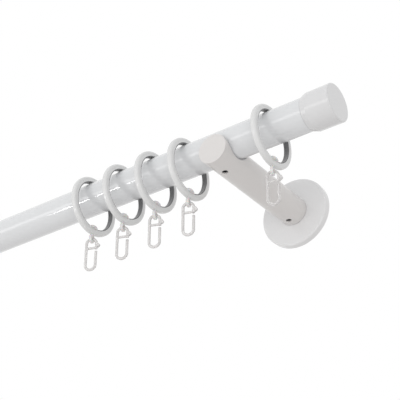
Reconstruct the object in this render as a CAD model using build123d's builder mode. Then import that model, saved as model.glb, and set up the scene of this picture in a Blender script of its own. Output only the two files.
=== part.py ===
"""White curtain rod set: tube, end caps, wall brackets and rings with snap hooks.

Millimetres. +X runs along the rod to the right, +Y into the wall, +Z up.
The origin is the centre of the right wall plate's back face.
"""
import math
import os

from build123d import *

os.makedirs("parts", exist_ok=True)

# Rod
overall_length = 1000.0
rod_diameter = 28.0
rod_wall = 1.2
wall_distance = 110.0
fit_gap = 0.1

# End caps, cups that slip over the tube with a plug inside it
cap_diameter = 32.0
cap_length = 25.5
cap_face = 3.0
cap_edge_round = 1.2
cap_lead_length = 4.5
cap_lead_height = 1.6
cap_plug_length = 16.0
cap_plug_wall = 1.8

# Bracket arms, round bars with a saddle for the rod
bracket_inset = 104.0
arm_diameter = 26.0
arm_drop = 10.6
nose_lip = 3.0
nose_edge_round = 0.5
saddle_gap = 0.8
saddle_edge_round = 0.8

# Wall plates with a spigot that the arm slips on
plate_diameter = 64.0
plate_thickness = 6.0
plate_edge_round = 1.6
spigot_diameter = 16.0
spigot_length = 18.0
spigot_lead = 1.0
socket_floor_gap = 1.0
stud_diameter = 6.0
stud_depth = 18.0

# Set screws, one under the rod and one near the wall
screw_diameter = 5.0
screw_recess = 1.2
thread_gap = 0.05
hex_across_flats = 2.5
hex_depth = 2.0
arm_screw_setback = 9.0

# Curtain rings with a glide insert
ring_inner_diameter = 45.2
ring_thickness = 4.5
ring_width = 5.0
ring_outer_round = 1.9
ring_inner_round = 0.3
insert_width = 4.0
insert_thickness = 1.6
insert_proud = 0.8
insert_end_gap = 0.6
ring_play = 0.3
ring_pitch = 34.0
inner_ring_offset = 36.0
outer_ring_offset = 44.0
inner_ring_count = 4

# Eyelets that swivel in the ring's lowest point
head_diameter = 9.5
head_height = 4.0
shank_diameter = 2.6
swivel_gap = 0.1
lug_thickness = 2.4
lug_diameter = 7.8
lug_hole_diameter = 3.8
lug_drop = 0.5
lug_edge = 0.3

# Snap hooks of round plastic wire with a thumb tab
hook_wire = 2.4
hook_loop_radius = 4.4
hook_length = 31.5
hook_sag = 0.4
hook_turn = 20.0
bar_depth = 8.8
bar_diameter = 2.0
snap_gap = 2.4
tab_depth = 6.4
tab_height = 4.6
tab_reach = 2.0
tab_thickness = 2.0

# Places that follow from the sizes above
rod_radius = rod_diameter / 2
bore_radius = rod_radius - rod_wall
cap_radius = cap_diameter / 2
arm_radius = arm_diameter / 2
plate_radius = plate_diameter / 2
spigot_radius = spigot_diameter / 2
screw_radius = screw_diameter / 2
rod_y = -wall_distance
rod_z = arm_drop
right_end = bracket_inset
left_end = bracket_inset - overall_length
bracket_x = {"right": 0.0, "left": left_end + bracket_inset}
outward = {"right": 1, "left": -1}
nose_y = rod_y - rod_radius - saddle_gap - nose_lip
rod_axis = Axis((0, rod_y, rod_z), (1, 0, 0))

ring_inner_radius = ring_inner_diameter / 2
ring_outer_radius = ring_inner_radius + ring_thickness
glide_radius = ring_inner_radius - insert_proud
ring_z = rod_z + rod_radius + ring_play - glide_radius
ring_places = [bracket_x["right"] + outer_ring_offset]
for step in range(inner_ring_count):
    ring_places.append(bracket_x["right"] - inner_ring_offset - step * ring_pitch)
ring_places.append(bracket_x["left"] - outer_ring_offset)


def lengthwise_plane(x, z, sign=1):
    """Plane through the rod's axis line: local x runs outward, local y runs up."""
    return Plane(origin=(x, rod_y, z), x_dir=(sign, 0, 0), z_dir=(0, -sign, 0))


def on_saddle_rim(edge, x):
    """Whether an edge lies where the saddle breaks through the arm's round side."""
    middle = edge @ 0.5
    on_side = abs(math.hypot(middle.X - x, middle.Z) - arm_radius) < fit_gap
    return on_side and abs(middle.Y - rod_y) < saddle_radius + fit_gap


# Tube, its ends standing on the cups' floors
tube_length = overall_length - 2 * cap_face
with BuildPart() as rod_tube:
    with BuildSketch(Plane(origin=(left_end + cap_face, rod_y, rod_z), z_dir=(1, 0, 0))):
        Circle(rod_radius)
        Circle(bore_radius, mode=Mode.SUBTRACT)
    extrude(amount=tube_length)
rod_tube.part.label = "rod_tube"
export_step(rod_tube.part, "parts/rod_tube.step")

# End caps: one turned profile, the tube's wall sits in the slot between cup and plug
cup_radius = rod_radius + fit_gap
plug_radius = bore_radius - fit_gap
plug_bore_radius = plug_radius - cap_plug_wall
cap_corner = (0, cap_radius)
for side, end_x in (("right", right_end), ("left", left_end)):
    with BuildPart() as end_cap:
        with BuildSketch(lengthwise_plane(end_x, rod_z, outward[side])) as cap_profile:
            with BuildLine():
                Polyline(
                    (0, 0),
                    cap_corner,
                    (cap_lead_length - cap_length, cap_radius),
                    (-cap_length, cap_radius - cap_lead_height),
                    (-cap_length, cup_radius),
                    (-cap_face, cup_radius),
                    (-cap_face, plug_radius),
                    (-cap_face - cap_plug_length, plug_radius),
                    (-cap_face - cap_plug_length, plug_bore_radius),
                    (-cap_face, plug_bore_radius),
                    (-cap_face, 0),
                    close=True,
                )
            make_face()
            fillet(cap_profile.vertices().sort_by_distance(cap_corner)[0], radius=cap_edge_round)
        revolve(axis=rod_axis)
    end_cap.part.label = f"end_cap_{side}"
    export_step(end_cap.part, f"parts/end_cap_{side}.step")

# Bracket arms: saddle with the tube on its floor, socket for the spigot, two screw holes from below
arm_length = -plate_thickness - nose_y
saddle_radius = rod_radius + saddle_gap
saddle_z = rod_z + saddle_gap
socket_depth = spigot_length + socket_floor_gap
clamp_y = rod_y
arm_screw_y = -plate_thickness - arm_screw_setback
for side, x in bracket_x.items():
    arm_plane = Plane(origin=(x, -plate_thickness, 0), z_dir=(0, -1, 0))
    saddle_plane = Plane(origin=(x - arm_diameter, rod_y, saddle_z), z_dir=(1, 0, 0))
    with BuildPart() as bracket_arm:
        with BuildSketch(arm_plane):
            Circle(arm_radius)
        extrude(amount=arm_length)
        fillet(bracket_arm.faces().sort_by(Axis.Y)[0].edges(), radius=nose_edge_round)
        with BuildSketch(saddle_plane):
            Circle(saddle_radius)
        extrude(amount=2 * arm_diameter, mode=Mode.SUBTRACT)
        with Locations((x, rod_y, saddle_z)):
            Box(
                2 * arm_diameter,
                2 * saddle_radius,
                arm_diameter,
                align=(Align.CENTER, Align.CENTER, Align.MIN),
                mode=Mode.SUBTRACT,
            )
        bent_edges = bracket_arm.edges().filter_by(GeomType.LINE, reverse=True)
        fillet([edge for edge in bent_edges if on_saddle_rim(edge, x)], radius=saddle_edge_round)
        with BuildSketch(arm_plane):
            Circle(spigot_radius + fit_gap)
        extrude(amount=socket_depth, mode=Mode.SUBTRACT)
        for screw_y in (clamp_y, arm_screw_y):
            with BuildSketch(Plane(origin=(x, screw_y, -arm_diameter))):
                Circle(screw_radius + thread_gap)
            extrude(amount=arm_diameter, mode=Mode.SUBTRACT)
    bracket_arm.part.label = f"bracket_arm_{side}"
    export_step(bracket_arm.part, f"parts/bracket_arm_{side}.step")

# Wall plates: turned disc and spigot with a blind threaded hole for the stud in the wall
spigot_end = plate_thickness + spigot_length
plate_corner = (plate_radius, plate_thickness)
for side, x in bracket_x.items():
    with BuildPart() as wall_plate:
        with BuildSketch(Plane(origin=(x, 0, 0), x_dir=(1, 0, 0), z_dir=(0, 0, -1))) as plate_profile:
            with BuildLine():
                Polyline(
                    (0, stud_depth),
                    (stud_diameter / 2, stud_depth),
                    (stud_diameter / 2, 0),
                    (plate_radius, 0),
                    plate_corner,
                    (spigot_radius, plate_thickness),
                    (spigot_radius, spigot_end - spigot_lead),
                    (spigot_radius - spigot_lead, spigot_end),
                    (0, spigot_end),
                    close=True,
                )
            make_face()
            fillet(plate_profile.vertices().sort_by_distance(plate_corner)[0], radius=plate_edge_round)
        revolve(axis=Axis((x, 0, 0), (0, 1, 0)))
    wall_plate.part.label = f"wall_plate_{side}"
    export_step(wall_plate.part, f"parts/wall_plate_{side}.step")

# Set screws with a hexagon socket, their tips on the tube and on the spigot
screw_foot_z = screw_recess - arm_radius
screw_places = {
    "clamp_screw": (clamp_y, rod_z - rod_radius),
    "arm_screw": (arm_screw_y, -spigot_radius),
}
for side, x in bracket_x.items():
    for name, (screw_y, tip_z) in screw_places.items():
        foot_plane = Plane(origin=(x, screw_y, screw_foot_z))
        with BuildPart() as set_screw:
            with BuildSketch(foot_plane):
                Circle(screw_radius)
            extrude(amount=tip_z - screw_foot_z)
            with BuildSketch(foot_plane):
                RegularPolygon(hex_across_flats / 2, 6, major_radius=False)
            extrude(amount=hex_depth, mode=Mode.SUBTRACT)
        set_screw.part.label = f"{name}_{side}"
        export_step(set_screw.part, f"parts/{name}_{side}.step")

# Rings: groove for the insert, flat seat and hole for the eyelet at the lowest point
half_width = ring_width / 2
head_radius = head_diameter / 2
seat_radius = head_radius + insert_end_gap / 2
seat_z = ring_z - ring_inner_radius
groove_radius = glide_radius + insert_thickness + fit_gap
insert_cut = 2 * (head_radius + insert_end_gap)
for number, x in enumerate(ring_places, start=1):
    ring_axis = Axis((x, rod_y, ring_z), (1, 0, 0))
    with BuildPart() as curtain_ring:
        with BuildSketch(lengthwise_plane(x, ring_z)) as ring_profile:
            with Locations((0, ring_inner_radius + ring_thickness / 2)):
                Rectangle(ring_width, ring_thickness)
            fillet(ring_profile.vertices().group_by(Axis.Y)[-1], radius=ring_outer_round)
            fillet(ring_profile.vertices().group_by(Axis.Y)[0], radius=ring_inner_round)
            with Locations((0, ring_inner_radius)):
                Rectangle(
                    insert_width + 2 * fit_gap,
                    2 * (groove_radius - ring_inner_radius),
                    mode=Mode.SUBTRACT,
                )
        revolve(axis=ring_axis)
        with Locations((x, rod_y, seat_z)):
            Cylinder(
                seat_radius,
                ring_thickness,
                align=(Align.CENTER, Align.CENTER, Align.MIN),
                mode=Mode.SUBTRACT,
            )
            Cylinder(shank_diameter / 2 + swivel_gap, 4 * ring_thickness, mode=Mode.SUBTRACT)
    curtain_ring.part.label = f"curtain_ring_{number}"
    export_step(curtain_ring.part, f"parts/curtain_ring_{number}.step")

    with BuildPart() as glide_insert:
        with BuildSketch(lengthwise_plane(x, ring_z)):
            with Locations((0, glide_radius + insert_thickness / 2)):
                Rectangle(insert_width, insert_thickness)
        revolve(axis=ring_axis)
        with Locations((x, rod_y, ring_z)):
            Box(
                2 * ring_width,
                insert_cut,
                ring_outer_radius,
                align=(Align.CENTER, Align.CENTER, Align.MAX),
                mode=Mode.SUBTRACT,
            )
    glide_insert.part.label = f"glide_insert_{number}"
    export_step(glide_insert.part, f"parts/glide_insert_{number}.step")

    # Eyelet: dome head on the seat, shank through the ring, flat lug with a round hole
    turn = math.radians(hook_turn)
    across = (math.cos(turn), math.sin(turn), 0)
    facing = (math.sin(turn), -math.cos(turn), 0)
    head_z = seat_z + swivel_gap
    lug_z = ring_z - ring_outer_radius - lug_drop - lug_diameter / 2
    with BuildPart() as eyelet:
        with BuildSketch(lengthwise_plane(x, head_z)):
            with BuildLine():
                Line((0, head_height), (0, 0))
                Line((0, 0), (head_radius, 0))
                TangentArc((0, head_height), (head_radius, 0), tangent=(1, 0))
            make_face()
        revolve(axis=Axis((x, rod_y, head_z), (0, 0, 1)))
        with BuildSketch(Plane(origin=(x, rod_y, lug_z))):
            Circle(shank_diameter / 2)
        extrude(amount=head_z - lug_z)
        lug_plane = Plane(origin=(x, rod_y, lug_z), x_dir=facing, z_dir=across)
        with BuildSketch(lug_plane):
            Circle(lug_diameter / 2)
        extrude(amount=lug_thickness / 2, both=True)
        rims = eyelet.edges().filter_by(GeomType.CIRCLE)
        chamfer([rim for rim in rims if abs(rim.radius - lug_diameter / 2) < fit_gap], length=lug_edge)
        with BuildSketch(lug_plane):
            Circle(lug_hole_diameter / 2)
        extrude(amount=lug_thickness, both=True, mode=Mode.SUBTRACT)
    eyelet.part.label = f"eyelet_{number}"
    export_step(eyelet.part, f"parts/eyelet_{number}.step")

    # Hook: wire bent from the free tip round the lower loop and the upper loop to the cross bar
    wire_radius = hook_wire / 2
    top_y = -hook_loop_radius
    low_y = hook_wire + hook_loop_radius - hook_length
    leg_end_y = -bar_depth - bar_diameter / 2
    tip_y = leg_end_y - snap_gap
    hook_plane = Plane(origin=(x, rod_y, lug_z - hook_sag), x_dir=across, z_dir=facing)
    with BuildPart() as hook:
        with BuildLine(hook_plane) as wire_path:
            Line((hook_loop_radius, tip_y), (hook_loop_radius, low_y))
            ThreePointArc(
                (hook_loop_radius, low_y),
                (0, low_y - hook_loop_radius),
                (-hook_loop_radius, low_y),
            )
            Line((-hook_loop_radius, low_y), (-hook_loop_radius, top_y))
            ThreePointArc((-hook_loop_radius, top_y), (0, 0), (hook_loop_radius, top_y))
            Line((hook_loop_radius, top_y), (hook_loop_radius, leg_end_y))
        with BuildSketch(Plane(origin=wire_path.line @ 0, z_dir=wire_path.line % 0)):
            Circle(wire_radius)
        sweep(path=wire_path.line)
        with BuildSketch(Plane(origin=hook_plane.from_local_coords((0, -bar_depth, 0)), z_dir=across)):
            Circle(bar_diameter / 2)
        extrude(amount=hook_loop_radius, both=True)
        with BuildSketch(hook_plane):
            with Locations((hook_loop_radius, -tab_depth)):
                Ellipse(wire_radius + tab_reach, tab_height / 2)
            with Locations((hook_loop_radius + wire_radius / 2, -tab_depth)):
                Rectangle(
                    2 * hook_loop_radius,
                    tab_height,
                    align=(Align.MAX, Align.CENTER),
                    mode=Mode.SUBTRACT,
                )
        extrude(amount=tab_thickness / 2, both=True)
    hook.part.label = f"hook_{number}"
    export_step(hook.part, f"parts/hook_{number}.step")
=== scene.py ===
import math

import bpy
import numpy as np
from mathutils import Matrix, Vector


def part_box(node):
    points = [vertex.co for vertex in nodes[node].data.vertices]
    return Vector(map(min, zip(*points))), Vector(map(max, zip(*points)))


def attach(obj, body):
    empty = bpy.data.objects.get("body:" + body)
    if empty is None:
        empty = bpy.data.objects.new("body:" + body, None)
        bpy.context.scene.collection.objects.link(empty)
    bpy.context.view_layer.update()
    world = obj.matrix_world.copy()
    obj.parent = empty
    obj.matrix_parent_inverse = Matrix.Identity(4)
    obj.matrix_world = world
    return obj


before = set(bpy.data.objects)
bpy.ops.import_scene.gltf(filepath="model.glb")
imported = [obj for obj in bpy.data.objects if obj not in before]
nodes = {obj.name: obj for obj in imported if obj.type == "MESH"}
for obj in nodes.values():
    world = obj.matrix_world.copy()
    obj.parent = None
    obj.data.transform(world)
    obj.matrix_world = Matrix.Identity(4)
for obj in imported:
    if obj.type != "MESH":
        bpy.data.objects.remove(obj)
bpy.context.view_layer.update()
rodLow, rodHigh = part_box("rod_tube")
rodY, rodZ = (rodLow.y + rodHigh.y) / 2, (rodLow.z + rodHigh.z) / 2


# shader maths: a Wire is a socket that stands in sums, differences and products like a number
class Wire:
    def __init__(self, sheet, socket):
        self.sheet = sheet
        self.socket = socket

    def maths(self, operation, *values):
        settings = {"operation": operation}
        return self.sheet.add("ShaderNodeMath", settings, dict(enumerate(values)))

    def __add__(self, other):
        return self.maths("ADD", self, other)

    def __radd__(self, other):
        return self.maths("ADD", other, self)

    def __sub__(self, other):
        return self.maths("SUBTRACT", self, other)

    def __rsub__(self, other):
        return self.maths("SUBTRACT", other, self)

    def __mul__(self, other):
        return self.maths("MULTIPLY", self, other)

    def __rmul__(self, other):
        return self.maths("MULTIPLY", other, self)

    def __abs__(self):
        return self.maths("ABSOLUTE", self)

    def root(self):
        return self.maths("SQRT", self)

    def atLeast(self, other):
        return self.maths("MAXIMUM", self, other)

    def atMost(self, other):
        return self.maths("MINIMUM", self, other)


# a Sheet is one node tree; add() makes any node from its type, settings and sockets
class Sheet:
    def __init__(self, tree):
        self.tree = tree
        tree.nodes.clear()

    def add(self, kind, settings=None, sockets=None, out=0):
        made = self.tree.nodes.new(kind)
        for name, value in (settings or {}).items():
            setattr(made, name, value)
        for name, value in (sockets or {}).items():
            if isinstance(value, Wire):
                self.tree.links.new(value.socket, made.inputs[name])
            else:
                made.inputs[name].default_value = value
        return Wire(self, made.outputs[out]) if len(made.outputs) else None

    # inputs 6 and 7 and output 2 of a Mix node are its colours
    def tint(self, factor, low, high):
        low, high = (end if isinstance(end, Wire) else (*end, 1.0) for end in (low, high))
        sockets = {"Factor": factor, 6: low, 7: high}
        return self.add("ShaderNodeMix", {"data_type": "RGBA"}, sockets, out=2)


def noise(sheet, scale, detail, stretch=(1.0, 1.0, 1.0)):
    where = sheet.add("ShaderNodeTexCoord", out="Object")
    where = sheet.add("ShaderNodeMapping", {}, {"Vector": where, "Scale": stretch})
    return sheet.add("ShaderNodeTexNoise", {}, {"Vector": where, "Scale": scale, "Detail": detail})


def placeAlong(sheet, axis):
    where = sheet.add("ShaderNodeTexCoord", out="Object")
    return sheet.add("ShaderNodeSeparateXYZ", {}, {"Vector": where}, out=axis)


def finishMaterial(name):
    made = bpy.data.materials.new(name)
    made.use_nodes = True
    return made, Sheet(made.node_tree)


# gloss runs from the first number of a look's pair to the second, with the pattern
def unevenGloss(look, pattern):
    low, high = look["gloss"]
    return low + pattern * (high - low)


# painted shade in the joints: grey lines in the colour stand for the shadow in narrow gaps,
# on the tube at the mouth of each cap, on the arm inside its saddle and against the wall plate
jointPaintedShade = {
    "colour": (0.42, 0.42, 0.43), "share": 0.7,
    "capLength": 0.0255, "mouthHalf": 0.0009,
    "saddleReach": 0.0150, "saddleFade": 0.0007,
    "plateFace": -0.006, "plateFade": 0.0008,
}


# 1 where the distance is 0 or less, falling evenly to 0 over the fade
def nearness(distance, fade):
    return 1.0 - (distance * (1.0 / fade)).atMost(1.0).atLeast(0.0)


# painted shade on the tube: a grey ring at the mouth of each cap where shadow falls
def tubePaintedShade(sheet):
    along = placeAlong(sheet, "X")
    right = along - (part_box("end_cap_right")[1].x - jointPaintedShade["capLength"])
    left = along - (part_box("end_cap_left")[0].x + jointPaintedShade["capLength"])
    return nearness(abs(right), jointPaintedShade["mouthHalf"]) + nearness(abs(left), jointPaintedShade["mouthHalf"])


# painted shade on the arm: distance from the rod's axis for the saddle, distance from the plate's face
# for the foot
def armPaintedShade(sheet):
    out, up = placeAlong(sheet, "Y"), placeAlong(sheet, "Z")
    ahead, above = out - rodY, up - rodZ
    radius = (ahead * ahead + above * above).root()
    saddle = nearness(radius - jointPaintedShade["saddleReach"], jointPaintedShade["saddleFade"])
    foot = nearness(jointPaintedShade["plateFace"] - out, jointPaintedShade["plateFade"])
    return saddle.atLeast(foot)


# white lacquers: cloudy tint, slightly uneven gloss and the faint orange peel of sprayed paint
lacquers = {
    "tubeLacquer": {
        "light": (0.785, 0.798, 0.812), "dark": (0.76, 0.773, 0.787), "gloss": (0.07, 0.11),
        "peel": 0.0006, "coat": 0.80, "paintedShade": tubePaintedShade, "nodes": ("rod_tube",),
    },
    "capLacquer": {
        "light": (0.77, 0.772, 0.78), "dark": (0.745, 0.747, 0.755), "gloss": (0.12, 0.18),
        "peel": 0.006, "coat": 0.50, "paintedShade": None, "nodes": ("end_cap",),
    },
    "armLacquer": {
        "light": (0.785, 0.764, 0.752), "dark": (0.755, 0.734, 0.722), "gloss": (0.26, 0.36),
        "peel": 0.016, "coat": 0.15, "paintedShade": armPaintedShade, "nodes": ("bracket_arm",),
    },
    "plateLacquer": {
        "light": (0.845, 0.845, 0.85), "dark": (0.82, 0.82, 0.825), "gloss": (0.12, 0.18),
        "peel": 0.008, "coat": 0.50, "paintedShade": None, "nodes": ("wall_plate",),
    },
}
paintFilm = {
    "cloudScale": 14.0, "cloudDetail": 3.0, "peelScale": 900.0, "peelDetail": 1.0,
    "peelDepth": 0.0004, "refraction": 1.48, "coatRoughness": 0.04,
}


def lacquerMaterial(name, look):
    made, sheet = finishMaterial(name)
    cloud = noise(sheet, paintFilm["cloudScale"], paintFilm["cloudDetail"])
    peel = noise(sheet, paintFilm["peelScale"], paintFilm["peelDetail"])
    bump = sheet.add("ShaderNodeBump", {}, {
        "Strength": look["peel"], "Distance": paintFilm["peelDepth"], "Height": peel,
    })
    colour = sheet.tint(cloud, look["dark"], look["light"])
    # painted shade: grey mixed into the base colour where the mask marks the shadow in the joints
    if look["paintedShade"]:
        colour = sheet.tint(look["paintedShade"](sheet) * jointPaintedShade["share"], colour, jointPaintedShade["colour"])
    shader = sheet.add("ShaderNodeBsdfPrincipled", {}, {
        "Base Color": colour,
        "Roughness": unevenGloss(look, cloud),
        "IOR": paintFilm["refraction"],
        "Coat Weight": look["coat"],
        "Coat Roughness": paintFilm["coatRoughness"],
        "Normal": bump,
    })
    sheet.add("ShaderNodeOutputMaterial", {}, {"Surface": shader})
    return made


# moulded plastics: tint with a little cloud, soft gloss and a fine skin; eyelets milky, hooks half clear
plastics = {
    "ringPlastic": {
        "light": (0.805, 0.81, 0.81), "dark": (0.775, 0.78, 0.78), "gloss": (0.16, 0.24),
        "milk": 0.0, "clear": 0.0, "nodes": ("curtain_ring",),
    },
    "insertPlastic": {
        "light": (0.21, 0.21, 0.215), "dark": (0.16, 0.16, 0.165), "gloss": (0.32, 0.44),
        "milk": 0.0, "clear": 0.0, "nodes": ("glide_insert",),
    },
    "eyeletPlastic": {
        "light": (0.82, 0.815, 0.81), "dark": (0.78, 0.775, 0.77), "gloss": (0.20, 0.30),
        "milk": 0.15, "clear": 0.0, "nodes": ("eyelet",),
    },
    "hookPlastic": {
        "light": (0.90, 0.885, 0.88), "dark": (0.86, 0.845, 0.84), "gloss": (0.16, 0.26),
        "milk": 0.0, "clear": 0.45, "nodes": ("hook",),
    },
}
mouldedSkin = {
    "cloudScale": 60.0, "cloudDetail": 2.0, "skinScale": 1400.0, "skinDetail": 1.0,
    "skinStrength": 0.02, "skinDepth": 0.0003, "refraction": 1.50, "milkDepth": 0.002,
}


def plasticMaterial(name, look):
    made, sheet = finishMaterial(name)
    cloud = noise(sheet, mouldedSkin["cloudScale"], mouldedSkin["cloudDetail"])
    skin = noise(sheet, mouldedSkin["skinScale"], mouldedSkin["skinDetail"])
    bump = sheet.add("ShaderNodeBump", {}, {
        "Strength": mouldedSkin["skinStrength"], "Distance": mouldedSkin["skinDepth"], "Height": skin,
    })
    shader = sheet.add("ShaderNodeBsdfPrincipled", {}, {
        "Base Color": sheet.tint(cloud, look["dark"], look["light"]),
        "Roughness": unevenGloss(look, cloud),
        "IOR": mouldedSkin["refraction"],
        "Subsurface Weight": look["milk"],
        "Subsurface Scale": mouldedSkin["milkDepth"],
        "Transmission Weight": look["clear"],
        "Normal": bump,
    })
    sheet.add("ShaderNodeOutputMaterial", {}, {"Surface": shader})
    return made


# blackened steel of the set screws
screwSteel = {
    "light": (0.13, 0.13, 0.135), "dark": (0.05, 0.05, 0.055), "gloss": (0.30, 0.48),
    "nodes": ("clamp_screw", "arm_screw"),
}
turningMarks = {"scale": 700.0, "detail": 2.0, "stretch": (1.0, 1.0, 6.0)}  # close together along Z


def metalMaterial(name, look):
    made, sheet = finishMaterial(name)
    marks = noise(sheet, turningMarks["scale"], turningMarks["detail"], turningMarks["stretch"])
    shader = sheet.add("ShaderNodeBsdfPrincipled", {}, {
        "Base Color": sheet.tint(marks, look["dark"], look["light"]),
        "Roughness": unevenGloss(look, marks),
        "Metallic": 1.0,
    })
    sheet.add("ShaderNodeOutputMaterial", {}, {"Surface": shader})
    return made


def dress(material, prefixes):
    for name, piece in nodes.items():
        if name.startswith(prefixes):
            piece.data.materials.clear()
            piece.data.materials.append(material)


for name, look in lacquers.items():
    dress(lacquerMaterial(name, look), look["nodes"])
for name, look in plastics.items():
    dress(plasticMaterial(name, look), look["nodes"])
dress(metalMaterial("screwSteel", screwSteel), screwSteel["nodes"])
print("finishes:", len(bpy.data.materials), "materials")


# closed profile carried along a path: rows of points follow the path, columns go round the profile
def carriedMesh(name, points):
    rows, columns = points.shape[:2]
    index = np.arange(rows * columns).reshape(rows, columns)
    beside = np.roll(index, -1, axis=1)
    corners = [index[:-1], beside[:-1], beside[1:], index[1:]]
    sides = np.stack(corners, axis=-1).reshape(-1, 4)
    ends = [index[0, ::-1].tolist(), index[-1].tolist()]
    mesh = bpy.data.meshes.new(name)
    mesh.from_pydata(points.reshape(-1, 3), [], sides.tolist() + ends)
    made = bpy.data.objects.new(name, mesh)
    bpy.context.scene.collection.objects.link(made)
    return made


# thread in the stud holes, cut in the bare metal of the plate
studThread = {
    "pitch": 0.001, "turns": 16.0, "stepsPerTurn": 36, "start": 0.0009, "runOut": 0.5, "tip": 0.02,
    "root": 0.00303, "crest": 0.00256, "rootHalf": 0.00042, "crestHalf": 0.00008,
    "finish": {"light": (0.62, 0.62, 0.63), "dark": (0.46, 0.46, 0.47), "gloss": (0.28, 0.42)},
}


# helix: the angle grows with the turns, the depth by one pitch a turn, and the ridge fades in and out
def threadPoints(hole):
    turns, root, crest = studThread["turns"], studThread["root"], studThread["crest"]
    wide, narrow = studThread["rootHalf"], studThread["crestHalf"]
    turn = np.linspace(0.0, turns, int(turns * studThread["stepsPerTurn"]) + 1)[:, None]
    fade = np.clip(np.minimum(turn, turns - turn) / studThread["runOut"], studThread["tip"], 1.0)
    radius = np.array([root, crest, crest, root])
    along = np.array([wide, narrow, -narrow, -wide])
    reach = root - (root - radius) * fade
    depth = studThread["start"] + studThread["pitch"] * turn - along * fade
    angle = 2.0 * np.pi * turn
    across, up = hole.x + reach * np.cos(angle), hole.z + reach * np.sin(angle)
    return np.stack([across, hole.y - depth, up], axis=-1)


def makeThreads():
    finish = metalMaterial("bareThread", studThread["finish"])
    for side in ("right", "left"):
        low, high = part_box("wall_plate_" + side)
        hole = Vector(((low.x + high.x) / 2, high.y, (low.z + high.z) / 2))
        thread = carriedMesh("stud_thread_" + side, threadPoints(hole))
        thread.data.materials.append(finish)
        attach(thread, "rod_and_brackets")


makeThreads()
print("details: threads in the two stud holes")


# white room: a floor far below the rod, a world that is white to the eye and soft as light
room = {
    "floorDrop": 2.7, "floorHalf": 60.0, "floorColour": (0.83, 0.815, 0.805, 1.0),
    "floorRoughness": 0.9, "floorWhite": 0.85,
    "white": (1.0, 1.0, 1.0, 1.0), "eyeWhite": 1.0, "lightLevel": 0.72,
}


# 1 where a ray comes straight from the camera, off a glossy surface or through a clear one
def backgroundRays(sheet):
    kinds = ("Is Camera Ray", "Is Glossy Ray", "Is Transmission Ray")
    camera, glossy, through = (sheet.add("ShaderNodeLightPath", out=kind) for kind in kinds)
    return 1.0 - (1.0 - camera) * (1.0 - glossy) * (1.0 - through)


def makeWorld():
    world = bpy.data.worlds.new("whiteRoom")
    bpy.context.scene.world = world
    world.use_nodes = True
    sheet = Sheet(world.node_tree)
    level = room["lightLevel"] + backgroundRays(sheet) * (room["eyeWhite"] - room["lightLevel"])
    light = sheet.add("ShaderNodeBackground", {}, {"Color": room["white"], "Strength": level})
    sheet.add("ShaderNodeOutputWorld", {}, {"Surface": light})


def floorMaterial():
    made, sheet = finishMaterial("paleFloor")
    shader = sheet.add("ShaderNodeBsdfPrincipled", {}, {
        "Base Color": room["floorColour"], "Roughness": room["floorRoughness"],
    })
    white = sheet.add("ShaderNodeEmission", {}, {"Color": room["white"], "Strength": room["eyeWhite"]})
    share = backgroundRays(sheet) * room["floorWhite"]
    mixed = sheet.add("ShaderNodeMixShader", {}, {"Fac": share, 1: shader, 2: white})
    sheet.add("ShaderNodeOutputMaterial", {}, {"Surface": mixed})
    return made


def makeFloor():
    half, drop = room["floorHalf"], -room["floorDrop"]
    corners = [(-half, -half, drop), (half, -half, drop), (half, half, drop), (-half, half, drop)]
    mesh = bpy.data.meshes.new("floor")
    mesh.from_pydata(corners, [], [(0, 1, 2, 3)])
    mesh.materials.append(floorMaterial())
    floor = bpy.data.objects.new("floor", mesh)
    bpy.context.scene.collection.objects.link(floor)


# soft studio lamps: place, point aimed at, size, power and whether glossy surfaces mirror them
lamps = {
    "sparkBox": {
        "at": (-0.97, -1.21, -0.48), "aim": (-0.14, rodY, rodZ),
        "size": (0.20, 0.10), "power": 0.9, "mirrored": True,
    },
    "stripBox": {
        "at": (-0.60, -1.40, -0.10), "aim": (0.0, rodY, rodZ),
        "size": (2.6, 0.35), "power": 3.6, "mirrored": True,
    },
    "lowFill": {
        "at": (0.80, -1.50, -0.70), "aim": (0.0, rodY, 0.0),
        "size": (1.6, 1.2), "power": 6.0, "mirrored": False,
    },
}


# lamps and cameras look along their own -Z axis, turned here to look along ahead
def facing(ahead):
    return ahead.to_track_quat("-Z", "Y").to_euler()


def makeLamps():
    for name, lamp in lamps.items():
        data = bpy.data.lights.new(name, "AREA")
        data.shape = "RECTANGLE"
        data.size, data.size_y = lamp["size"]
        data.energy = lamp["power"]
        made = bpy.data.objects.new(name, data)
        made.location = lamp["at"]
        made.rotation_euler = facing(Vector(lamp["aim"]) - Vector(lamp["at"]))
        made.visible_glossy = lamp["mirrored"]
        bpy.context.scene.collection.objects.link(made)


makeWorld()
makeFloor()
makeLamps()
print("room and", len(lamps), "lamps done")

# camera from below and from the right: angles in degrees, focal and frame in pixels,
# sensor in millimetres and the rest in metres
viewpoint = {
    "aim": (-0.0245, rodY, -0.030), "azimuth": 36.0, "below": 31.0, "distance": 0.85,
    "focal": 1070.0, "frame": 400.0, "sensor": 36.0, "clip": (0.01, 100.0),
}


def makeCamera():
    turn, rise = math.radians(viewpoint["azimuth"]), math.radians(viewpoint["below"])
    level = math.cos(rise)
    ahead = Vector((-math.sin(turn) * level, math.cos(turn) * level, math.sin(rise)))
    data = bpy.data.cameras.new("roomView")
    data.sensor_width = viewpoint["sensor"]
    data.lens = viewpoint["focal"] / viewpoint["frame"] * viewpoint["sensor"]
    data.clip_start, data.clip_end = viewpoint["clip"]
    made = bpy.data.objects.new("roomView", data)
    made.location = Vector(viewpoint["aim"]) - ahead * viewpoint["distance"]
    made.rotation_euler = facing(ahead)
    bpy.context.scene.collection.objects.link(made)
    bpy.context.scene.camera = made


makeCamera()
bpy.context.scene.view_settings.view_transform = "Standard"
print("camera set")
